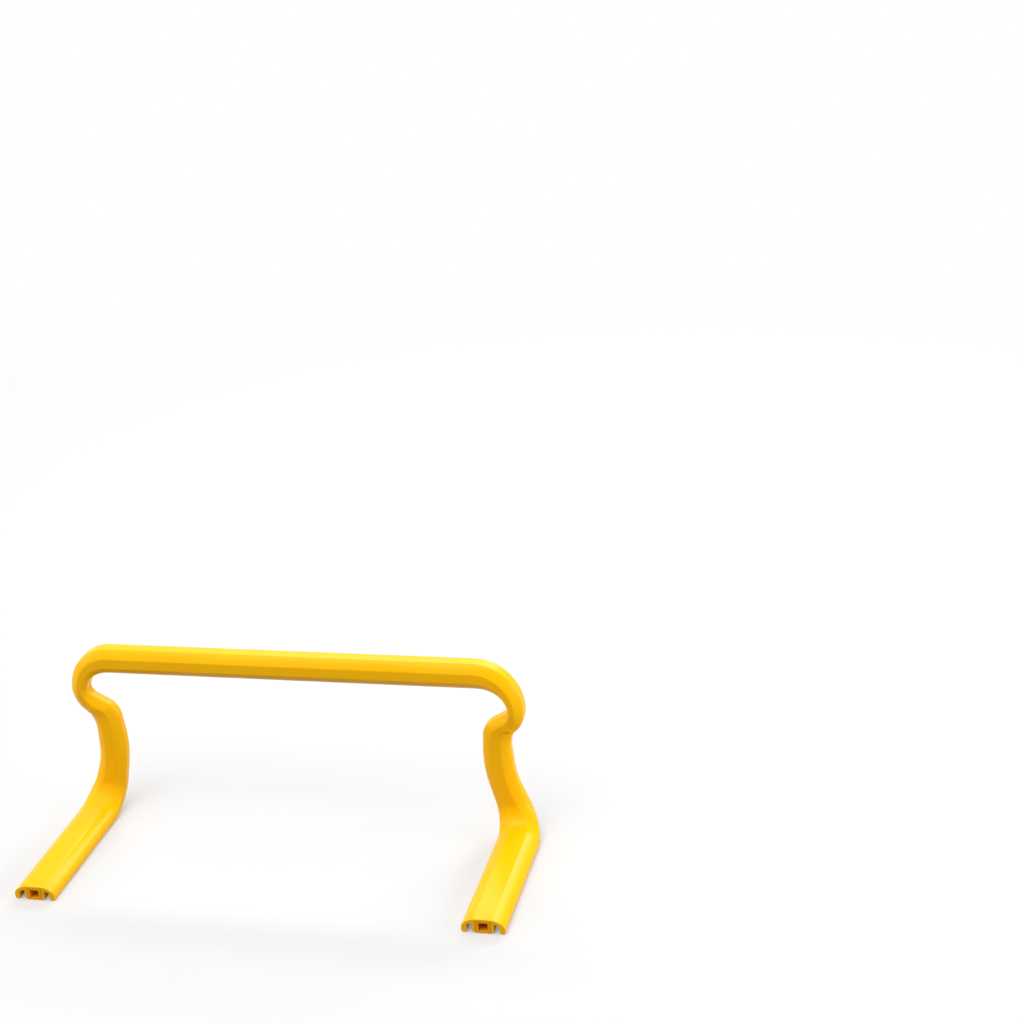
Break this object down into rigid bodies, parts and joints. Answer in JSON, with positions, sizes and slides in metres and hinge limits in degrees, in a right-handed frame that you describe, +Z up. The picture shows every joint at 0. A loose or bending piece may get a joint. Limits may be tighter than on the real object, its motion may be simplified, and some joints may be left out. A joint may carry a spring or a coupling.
{
  "type": "speed hurdle",
  "caption": "Low yellow plastic speed hurdle: a straight crossbar with rounded shoulders on bowed legs, with flat feet turned forward on the floor.",
  "frame": {"origin": "on the floor, below the middle of the hurdle's outer box", "axes": "+X along the crossbar, +Y from the toes to the arch, +Z up"},
  "size_m": [0.468, 0.169, 0.1825],
  "materials": {
    "yellow_skin": "smooth, half gloss",
    "yellow_core": "smooth, half gloss"
  },
  "bodies": {
    "root": {"crossbar_shell": "yellow_skin", "right_leg_shell": "yellow_skin", "left_leg_shell": "yellow_skin", "right_leg_core": "yellow_core", "left_leg_core": "yellow_core", "right_neck_plug": "yellow_core", "left_neck_plug": "yellow_core"}
  },
  "joints": []
}
